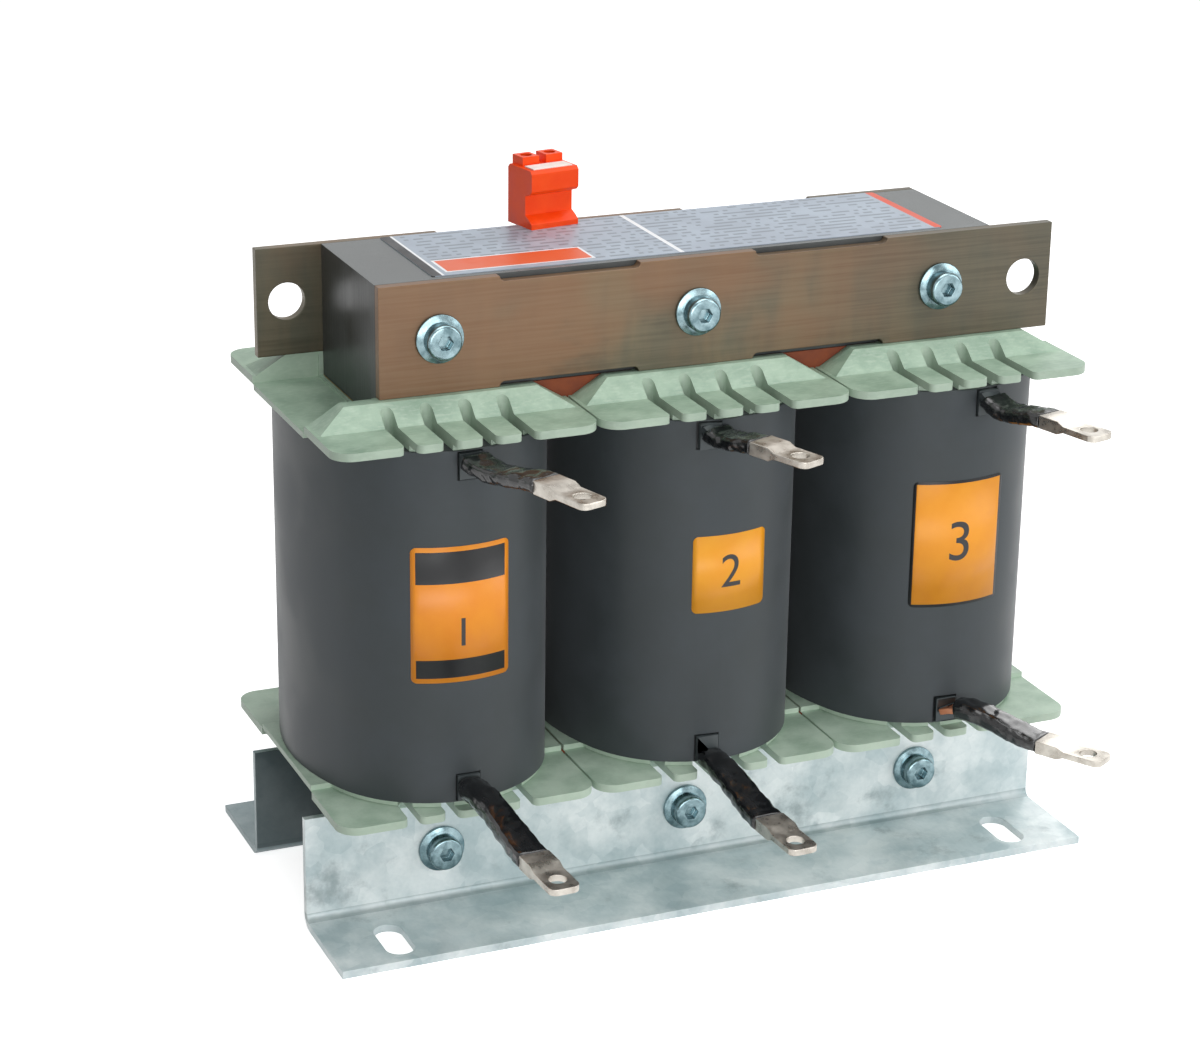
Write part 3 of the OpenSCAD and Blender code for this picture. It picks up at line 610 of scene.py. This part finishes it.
# White card in the marker slot of the terminal block
CARD = Finish("white_marker_card", "#e6dfd8", "#f1ece6", 0.6, cloud_mm=5.0, relief_mm=0.004)
# Vinyl stickers in warm orange, amber and yellow, two of them with a dark frame or bands
ORANGE_STICKER = StickerPrint("vinyl_sticker_orange", "#f5921c", "#fb9e28", 0.4, cloud_mm=12.0, relief_mm=0.003,
                              bands=((0.035, 0.17), (0.73, 0.965)), frame_share=0.0)
YELLOW_STICKER = StickerPrint("vinyl_sticker_yellow", "#f39a1c", "#faa529", 0.4, cloud_mm=12.0, relief_mm=0.003)
PLAIN_STICKER = StickerPrint("vinyl_sticker_plain", "#f7a21e", "#fcae2c", 0.4, cloud_mm=12.0, relief_mm=0.003,
                             frame_share=0.0)
# Dark ink of the numerals on the stickers
INK = Finish("dark_sticker_ink", "#1a1b1d", "#232427", 0.45, cloud_mm=4.0, relief_mm=0.002)


def finished(name: str, bm: bmesh.types.BMesh, finish: Finish, smooth: bool = True) -> bpy.types.Object:
    """Turns a bmesh into a piece that rides on the part's body.

    Args:
        name: Name of the new piece.
        bm: Its shape, in metres in the part's frame. It is freed here.
        finish: Its surface.
        smooth: Whether its faces are shaded smooth.

    Returns:
        The new object, at the origin.
    """
    mesh = bpy.data.meshes.new(name)
    bm.to_mesh(mesh)
    bm.free()
    # A copied node brings its old normals along, and they don't fit joined or rounded faces
    carried = mesh.attributes.get("custom_normal")
    if carried:
        mesh.attributes.remove(carried)
    mesh.polygons.foreach_set("use_smooth", [smooth] * len(mesh.polygons))
    made = bpy.data.objects.new(name, mesh)
    bpy.context.scene.collection.objects.link(made)
    made.data.materials.append(finish.material())
    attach(made, BODY)
    LOG.info("%s: %d faces", name, len(mesh.polygons))
    return made


@dataclass
class SubAssembly:
    """A group of the part's pieces, with what all groups need to dress and ease CAD nodes."""

    nodes: dict[str, bpy.types.Object]
    weld_mm: float = 0.002
    flat_degrees: float = 0.4

    def dress(self, node: str, finish: Finish) -> None:
        """Gives a CAD node that is shown as it is a finish of its own.

        Args:
            node: Name of the CAD node.
            finish: Its surface.
        """
        for slot in self.nodes[node].material_slots:
            slot.link = "OBJECT"
            slot.material = finish.material()
        LOG.info("%s: dressed as %s", node, finish.name)

    def welded(self, node: str, joined: bool = True, convex: bool = False) -> bmesh.types.BMesh:
        """Copies a CAD node's loose triangles and welds them into one clean skin.

        Args:
            node: Name of the CAD node.
            joined: Whether its flat areas are joined into single faces.
            convex: Whether joined faces with inward corners are split again, which thin steps need.

        Returns:
            The welded bmesh.
        """
        bm = bmesh.new()
        bm.from_mesh(self.nodes[node].data)
        bmesh.ops.remove_doubles(bm, verts=bm.verts, dist=self.weld_mm * MM)
        if joined:
            flat = math.radians(self.flat_degrees)
            bmesh.ops.dissolve_limit(bm, angle_limit=flat, verts=bm.verts, edges=bm.edges)
        if convex:
            bmesh.ops.connect_verts_concave(bm, faces=bm.faces)
        return bm

    def ease(self, node: str, finish: Finish, slot: str, radius_mm: float, segments: int = 2,
             angle: float = 24.0, convex: bool = False) -> bpy.types.Object:
        """Replaces a CAD node by a copy of it whose sharp edges are rounded, so that they catch light.

        Args:
            node: Name of the CAD node.
            finish: Surface of the copy.
            slot: Name of a material slot; not used.
            radius_mm: Width of the rounding.
            segments: Steps of the rounding.
            angle: Edges sharper than this many degrees are rounded.
            convex: Whether faces with inward corners are split before the rounding.

        Returns:
            The new piece.
        """
        made = finished(node + "_eased", self.welded(node, convex=convex), finish)
        bevel = made.modifiers.new("eased_edges", "BEVEL")
        bevel.width = radius_mm * MM
        bevel.segments = segments
        bevel.profile = 0.5
        bevel.limit_method = "ANGLE"
        bevel.angle_limit = math.radians(angle)
        bevel.harden_normals = True
        bevel.use_clamp_overlap = True
        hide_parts(node)
        return made


@dataclass
class Core(SubAssembly):
    """The laminated yokes, the gapped legs and the pressboard between yokes and flanges."""

    edge_mm: float = 0.35

    def build(self) -> None:
        """Builds and dresses the core."""
        for node in ("upper_yoke", "lower_yoke"):
            self.ease(node, SHEETS, "core_steel", self.edge_mm, 1)
        for way in Way:
            self.dress("leg_blocks_" + way.word, SHEETS)
        self.dress("gap_spacers", LAMINATE)
        for node in ("upper_liners", "lower_liners"):
            self.dress(node, PRESSBOARD)


@dataclass
class Windings(SubAssembly):
    """Three foil windings on their formers, each in a smooth outer wrap."""

    rim_mm: float = 0.4

    def build(self) -> None:
        """Builds and dresses the windings."""
        for way in Way:
            self.ease("outer_wrap_" + way.word, WRAP, "wrap", self.rim_mm)
            self.dress("foil_winding_" + way.word, FOIL)
            self.dress("former_" + way.word, FORMER)


@dataclass
class EndFlanges(SubAssembly):
    """The moulded end flanges above and below the windings."""

    edge_mm: float = 0.45

    def build(self) -> None:
        """Builds the six flanges with soft moulded edges."""
        for level in Level:
            for way in Way:
                # The lower flanges get a paler copy of the moulding as painted light
                finish = MOULDING if level is Level.UPPER else LIT_MOULDING
                self.ease(f"{level.value}_flange_{way.word}", finish, "flange", self.edge_mm, convex=True)


@dataclass
class ClampsAndFeet(SubAssembly):
    """The two clamp bars at the top and the two foot angles at the bottom."""

    bar_edge_mm: float = 0.35
    foot_edge_mm: float = 0.4

    def build(self) -> None:
        """Builds both bars and both angles."""
        # The back angle gets a darker copy of the galvanised finish as painted shade
        for side, sheet in (("front", GALVANISED), ("back", SHADED_GALVANISED)):
            self.ease("clamp_bar_" + side, BAR, "bar_steel", self.bar_edge_mm)
            self.ease("foot_angle_" + side, sheet, "galvanised", self.foot_edge_mm)


@dataclass
class Fasteners(SubAssembly):
    """Clamping bolts with their tubes, washers and nuts."""

    edge_mm: float = 0.25
    chamfer_degrees: float = 20.0

    def build(self) -> None:
        """Builds all fasteners of both levels."""
        for level in Level:
            for kind in ("bolts", "washers", "nuts"):
                self.ease(f"{level.value}_{kind}", ZINC, "zinc", self.edge_mm, angle=self.chamfer_degrees)
            self.dress(level.value + "_bolt_tubes", TUBE)


@dataclass
class Leads(SubAssembly):
    """Six folded copper tails in shrunk sleeves with crimped lugs."""

    crease_mm: float = 0.55
    crease_size_mm: float = 5.0
    fine_share: float = 0.6
    fine_times: float = 2.3
    halvings: int = 2
    level_seed: float = 7.0
    way_seed: float = 3.0
    skin_mm: float = 0.6
    tail_edge_mm: float = 0.3
    lug_edge_mm: float = 0.35

    def shape(self, node: str) -> tuple[list[Vector], list[tuple[int, ...]]]:
        """Gives a node's points and faces, for measuring how near another piece is."""
        mesh = self.nodes[node].data
        return [v.co.copy() for v in mesh.vertices], [tuple(f.vertices) for f in mesh.polygons]

    def sleeve(self, node: str, seed: float) -> bpy.types.Object:
        """Replaces a plain sleeve by one with drawn creases.

        Args:
            node: Name of the sleeve's CAD node.
            seed: Moves the creases, so that no two sleeves are alike.

        Returns:
            The creased sleeve.
        """
        bm = self.welded(node, joined=False)
        for _ in range(self.halvings):
            bmesh.ops.subdivide_edges(bm, edges=bm.edges, cuts=1, use_grid_fill=True, smooth=0.0)
        bm.normal_update()
        inside = BVHTree.FromPolygons(*self.shape(node.replace("sleeve", "tail")))
        for vert in bm.verts:
            room = inside.find_nearest(vert.co)[3] / MM
            share = min(max((room - self.skin_mm) / self.skin_mm, 0.0), 1.0)
            spot = vert.co * (1 / (self.crease_size_mm * MM)) + Vector((seed, 0, 0))
            swell = noise.noise(spot) + self.fine_share * noise.noise(spot * self.fine_times)
            vert.co += vert.normal * swell * share * self.crease_mm * MM
        made = finished(node + "_creased", bm, SHRINK)
        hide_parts(node)
        return made

    def build(self) -> None:
        """Builds tails, sleeves and lugs of both levels."""
        for row, level in enumerate(Level):
            for place, way in enumerate(Way):
                word = f"{level.value}_%s_{way.word}"
                bare = level is Level.LOWER and way is Way.RIGHT
                self.ease(word % "tail", BARE_COPPER if bare else COPPER, "copper", self.tail_edge_mm)
                self.sleeve(word % "sleeve", self.level_seed * row + self.way_seed * place)
                self.ease(word % "lug", TINNED, "tinned", self.lug_edge_mm)


@dataclass
class TerminalBlock(SubAssembly):
    """The two-way terminal block on the upper yoke."""

    edge_mm: float = 0.5
    place_mm: tuple[float, float, float] = (-35.0, 30.5, 266.0)
    turn: float = 10.0
    card_mm: tuple[float, float, float] = (17.0, 6.4, 0.5)
    card_edge_mm: float = 0.12
    card_y_mm: float = -3.6

    def card(self) -> None:
        """Lays the marker card on the front of the block's top."""
        bm = bmesh.new()
        bmesh.ops.create_cube(bm, size=MM)
        bmesh.ops.scale(bm, vec=self.card_mm, verts=bm.verts)
        bmesh.ops.bevel(bm, geom=bm.edges, offset=self.card_edge_mm * MM, offset_type="OFFSET", segments=2,
                        profile=0.5, affect="EDGES", material=-1)
        bmesh.ops.translate(bm, vec=Vector((0, self.card_y_mm, self.card_mm[2] / 2)) * MM, verts=bm.verts)
        turned = Matrix.Rotation(math.radians(self.turn), 3, "Z")
        bmesh.ops.rotate(bm, cent=(0, 0, 0), matrix=turned, verts=bm.verts)
        bmesh.ops.translate(bm, vec=Vector(self.place_mm) * MM, verts=bm.verts)
        finished("marker_card", bm, CARD, smooth=False)

    def build(self) -> None:
        """Builds the housing with soft edges and its card, and dresses its metal parts."""
        self.card()
        self.ease("terminal_block", POLYAMIDE, "block", self.edge_mm)
        self.dress("terminal_screws", SCREW)
        self.dress("terminal_cages", BRASS)


@dataclass
class RatingPlate:
    """The thin printed plate that lies on the upper yoke."""

    low_mm: tuple[float, float, float] = (-100.0, -27.0, 243.5)
    high_mm: tuple[float, float, float] = (104.0, 30.0, 243.78)
    corner_mm: float = 1.2
    corner_steps: int = 4

    def build(self) -> None:
        """Builds the plate from a cube with rounded corners."""
        bm = bmesh.new()
        size = [b - a for a, b in zip(self.low_mm, self.high_mm)]
        middle = [(a + b) / 2 for a, b in zip(self.low_mm, self.high_mm)]
        bmesh.ops.create_cube(bm, size=MM)
        bmesh.ops.scale(bm, vec=size, verts=bm.verts)
        bmesh.ops.translate(bm, vec=Vector(middle) * MM, verts=bm.verts)
        corners = [e for e in bm.edges if abs(e.verts[0].co.z - e.verts[1].co.z) > size[2] / 2 * MM]
        bmesh.ops.bevel(bm, geom=corners, offset=self.corner_mm * MM, offset_type="OFFSET",
                        segments=self.corner_steps, profile=0.5, affect="EDGES", material=-1)
        finished("rating_plate", bm, PLATE, smooth=False)


@dataclass
class Sticker:
    """A sticker that lies on the round front of a winding."""

    name: str
    way: Way
    xs_mm: tuple[float, float]
    zs_mm: tuple[float, float]
    finish: StickerPrint
    numeral: str = ""
    numeral_h_mm: float = 10.0
    numeral_z_mm: float = 0.0
    corner_mm: float = 2.0
    half_w_mm: float = 47.85
    half_d_mm: float = 62.5
    bulge_mm: float = 3.85
    lift_mm: float = 0.12
    film_mm: float = 0.1
    ink_mm: float = 0.06
    strips: int = 24
    corner_steps: int = 5
    numeral_scale: float = 1.4
    numeral_reach_mm: int = 8

    def front(self, x_mm: float, lift_mm: float) -> float:
        """Y of the wrap's front at a place along the row, in millimetres.

        Args:
            x_mm: Place along the row.
            lift_mm: Height over the wrap.

        Returns:
            Y in millimetres.
        """
        radius = self.half_w_mm - self.bulge_mm
        middle = self.half_d_mm - radius
        across = x_mm - self.way.value
        return -middle - math.sqrt((radius + lift_mm) ** 2 - across ** 2)

    def cut(self, bm: bmesh.types.BMesh, places_mm: list[float]) -> None:
        """Cuts a flat shape upright at some places along the row, so that it can bend.

        Args:
            bm: The flat shape, in the XZ plane.
            places_mm: Where it is cut, along X.
        """
        for place in places_mm:
            bmesh.ops.bisect_plane(bm, geom=bm.verts[:] + bm.edges[:] + bm.faces[:], dist=TOUCH_MM * MM,
                                   plane_co=(place * MM, 0, 0), plane_no=(1, 0, 0))

    def lay(self, bm: bmesh.types.BMesh, lift_mm: float) -> None:
        """Moves a flat shape in the XZ plane onto the wrap, with its faces to the front.

        Args:
            bm: The flat shape.
            lift_mm: Height over the wrap.
        """
        for vert in bm.verts:
            vert.co.y = self.front(vert.co.x / MM, lift_mm + vert.co.y / MM) * MM
        if sum(f.normal.y for f in bm.faces) > 0:
            bmesh.ops.reverse_faces(bm, faces=bm.faces)

    def build(self) -> None:
        """Builds the sticker's skin and the numeral on it."""
        (x0, x1), (z0, z1) = self.xs_mm, self.zs_mm
        bm = bmesh.new()
        bmesh.ops.create_grid(bm, x_segments=1, y_segments=1, size=0.5)
        bmesh.ops.rotate(bm, cent=(0, 0, 0), matrix=UPRIGHT, verts=bm.verts)
        bmesh.ops.scale(bm, vec=((x1 - x0) * MM, 1, (z1 - z0) * MM), verts=bm.verts)
        bmesh.ops.translate(bm, vec=((x0 + x1) / 2 * MM, 0, (z0 + z1) / 2 * MM), verts=bm.verts)
        bmesh.ops.bevel(bm, geom=bm.verts, offset=self.corner_mm * MM, offset_type="OFFSET",
                        segments=self.corner_steps, profile=0.5, affect="VERTICES", material=-1)
        self.cut(bm, [x0 + (x1 - x0) * k / self.strips for k in range(1, self.strips)])
        own = bm.loops.layers.uv.new("face")
        for face in bm.faces:
            for loop in face.loops:
                spot = loop.vert.co / MM
                loop[own].uv = ((spot.x - x0) / (x1 - x0), (spot.z - z0) / (z1 - z0))
        self.lay(bm, self.lift_mm)
        made = finished("sticker_" + self.name, bm, self.finish)
        shell = made.modifiers.new("film", "SOLIDIFY")
        shell.thickness = self.film_mm * MM
        shell.offset = -1.0
        if self.numeral:
            self.write()

    def write(self) -> None:
        """Lays a plain numeral on the sticker."""
        curve = bpy.data.curves.new("numeral", "FONT")
        curve.body = self.numeral
        curve.size = self.numeral_h_mm * self.numeral_scale * MM
        curve.align_x = "CENTER"
        curve.align_y = "CENTER"
        flat = bpy.data.objects.new("numeral", curve)
        mesh = bpy.data.meshes.new_from_object(flat)
        bm = bmesh.new()
        bm.from_mesh(mesh)
        bpy.data.objects.remove(flat)
        bpy.data.curves.remove(curve)
        bpy.data.meshes.remove(mesh)
        bmesh.ops.rotate(bm, cent=(0, 0, 0), matrix=UPRIGHT, verts=bm.verts)
        middle = (sum(self.xs_mm) / 2, self.numeral_z_mm or sum(self.zs_mm) / 2)
        bmesh.ops.translate(bm, vec=(middle[0] * MM, 0, middle[1] * MM), verts=bm.verts)
        for vert in bm.verts:
            vert.co.y = 0
        reach = self.numeral_reach_mm
        self.cut(bm, [middle[0] + k for k in range(-reach, reach + 1)])
        self.lay(bm, self.lift_mm + self.ink_mm)
        finished("numeral_" + self.name, bm, INK)


@dataclass(frozen=True)
class Viewpoint:
    """The photograph's viewpoint, solved from the part's own corners."""

    azimuth: float = -113.0447
    elevation: float = 20.0825
    roll: float = 0.7803
    distance_mm: float = 1182.797
    target_mm: tuple[float, float, float] = (0.0, 0.0, 110.0)
    right_mm: float = 21.170
    down_mm: float = 17.012
    lens_mm: float = 91.793
    sensor_mm: float = 36.0
    nearest: float = 0.05

    def build(self) -> None:
        """Places the scene's camera."""
        a, e = math.radians(self.azimuth), math.radians(self.elevation)
        forward = -Vector((math.cos(e) * math.cos(a), math.cos(e) * math.sin(a), math.sin(e)))
        right = forward.cross(Vector((0, 0, 1))).normalized()
        down = forward.cross(right)
        eye = Vector(self.target_mm) - forward * self.distance_mm - right * self.right_mm - down * self.down_mm
        c, s = math.cos(math.radians(self.roll)), math.sin(math.radians(self.roll))
        turned_right, turned_down = right * c - down * s, right * s + down * c
        data = bpy.data.cameras.new("camera")
        data.sensor_fit = "HORIZONTAL"
        data.sensor_width = self.sensor_mm
        data.lens = self.lens_mm
        data.clip_start = self.nearest
        camera = bpy.data.objects.new("camera", data)
        bpy.context.scene.collection.objects.link(camera)
        axes = Matrix((turned_right, -turned_down, -forward)).transposed()
        camera.matrix_world = Matrix.Translation(eye * MM) @ axes.to_4x4()
        bpy.context.scene.camera = camera


@dataclass(frozen=True)
class Lamp:
    """One soft rectangular lamp."""

    name: str
    place: tuple[float, float, float]
    size: tuple[float, float]
    watts: float


@dataclass
class Studio:
    """Pale floor, soft lamps and an even pale surround."""

    lamps: tuple[Lamp, ...] = (
        Lamp("overhead", (0.15, -0.2, 1.5), (1.5, 1.1), 13.5),
        Lamp("front_low", (-0.25, -1.7, 0.35), (1.4, 0.6), 12.0),
        Lamp("front_right", (1.3, -1.1, 0.7), (0.9, 1.1), 9.0),
        Lamp("back_right", (1.2, 0.8, 0.9), (0.8, 1.0), 6.0),
    )
    aim: tuple[float, float, float] = (0.0, 0.0, 0.12)
    surround: float = 0.2
    floor_radius: float = 6.0
    floor_tones: tuple[str, str] = ("#e4e4e4", "#ececec")
    floor_cloud_mm: float = 300.0
    floor_dim: str = "#a4a4a4"
    floor_glow: float = 0.8

    def build(self) -> None:
        """Builds the floor, the lamps and the surround."""
        bpy.context.scene.view_settings.view_transform = "Standard"
        self.floor()
        self.world()
        for lamp in self.lamps:
            data = bpy.data.lights.new(lamp.name, "AREA")
            data.shape = "RECTANGLE"
            data.size, data.size_y = lamp.size
            data.energy = lamp.watts
            light = bpy.data.objects.new(lamp.name, data)
            bpy.context.scene.collection.objects.link(light)
            way = Vector(self.aim) - Vector(lamp.place)
            turn = way.to_track_quat("-Z", "Y").to_matrix().to_4x4()
            light.matrix_world = Matrix.Translation(lamp.place) @ turn

    def background(self, tree: Tree) -> Socket:
        """Is 1 for rays that should see plain white: the camera's, and those through gloss or glass.

        Args:
            tree: The tree of the floor's material or of the surround.

        Returns:
            A mask, 0 for the rays that only carry light.
        """
        direct = add(tree, "ShaderNodeLightPath", out="Is Camera Ray")
        glossy = add(tree, "ShaderNodeLightPath", out="Is Glossy Ray")
        through = add(tree, "ShaderNodeLightPath", out="Is Transmission Ray")
        seen = add(tree, "ShaderNodeMath", {0: direct, 1: glossy}, operation="MAXIMUM")
        return add(tree, "ShaderNodeMath", {0: seen, 1: through}, operation="MAXIMUM")

    def floor(self) -> None:
        """Builds the floor, which is white to the eye and keeps the part's shadow."""
        bm = bmesh.new()
        bmesh.ops.create_circle(bm, cap_ends=True, segments=96, radius=self.floor_radius)
        mesh = bpy.data.meshes.new("floor")
        bm.to_mesh(mesh)
        bm.free()
        made = bpy.data.objects.new("floor", mesh)
        bpy.context.scene.collection.objects.link(made)
        material = bpy.data.materials.new("pale_floor")
        material.use_nodes = True
        tree = material.node_tree
        tree.nodes.clear()
        place = add(tree, "ShaderNodeTexCoord", out="Object")
        first, second = (linear(tone) for tone in self.floor_tones)
        colour = blend(tree, clouds(tree, place, self.floor_cloud_mm), first, second)
        matt = add(tree, "ShaderNodeBsdfDiffuse", {"Color": colour})
        dim = add(tree, "ShaderNodeBsdfDiffuse", {"Color": linear(self.floor_dim)})
        glow = add(tree, "ShaderNodeEmission", {"Color": (1, 1, 1, 1), "Strength": self.floor_glow})
        lit = add(tree, "ShaderNodeAddShader", {0: matt, 1: glow})
        mixed = add(tree, "ShaderNodeMixShader", {0: self.background(tree), 1: dim, 2: lit})
        add(tree, "ShaderNodeOutputMaterial", {"Surface": mixed})
        mesh.materials.append(material)

    def world(self) -> None:
        """Sets an even surround that lights softly and is white to the eye."""
        world = bpy.data.worlds.new("surround")
        bpy.context.scene.world = world
        world.use_nodes = True
        tree = world.node_tree
        tree.nodes.clear()
        soft = add(tree, "ShaderNodeBackground", {"Color": (1, 1, 1, 1), "Strength": self.surround})
        white = add(tree, "ShaderNodeBackground", {"Color": (1, 1, 1, 1), "Strength": 1.0})
        mixed = add(tree, "ShaderNodeMixShader", {0: self.background(tree), 1: soft, 2: white})
        add(tree, "ShaderNodeOutputWorld", {"Surface": mixed})


STICKERS = (
    Sticker("left", Way.LEFT, (-120.0, -83.5), (103.6, 155.2), ORANGE_STICKER, "1", 11.0, 122.0),
    Sticker("middle", Way.MIDDLE, (-12.0, 18.0), (116.0, 146.0), PLAIN_STICKER, "2", 13.0),
    Sticker("right", Way.RIGHT, (80.0, 117.0), (104.5, 155.0), YELLOW_STICKER, "3", 16.0),
)


def main() -> None:
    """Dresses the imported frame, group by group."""
    logging.basicConfig(level=logging.INFO, format="%(name)s: %(message)s")
    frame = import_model()
    Viewpoint().build()
    nodes = frame["nodes"]
    for group in (Core, Windings, EndFlanges, ClampsAndFeet, Fasteners, Leads, TerminalBlock):
        LOG.info("building %s", group.__name__)
        group(nodes).build()
    RatingPlate().build()
    for sticker in STICKERS:
        sticker.build()
    Studio().build()


if __name__ == "__main__":
    main()
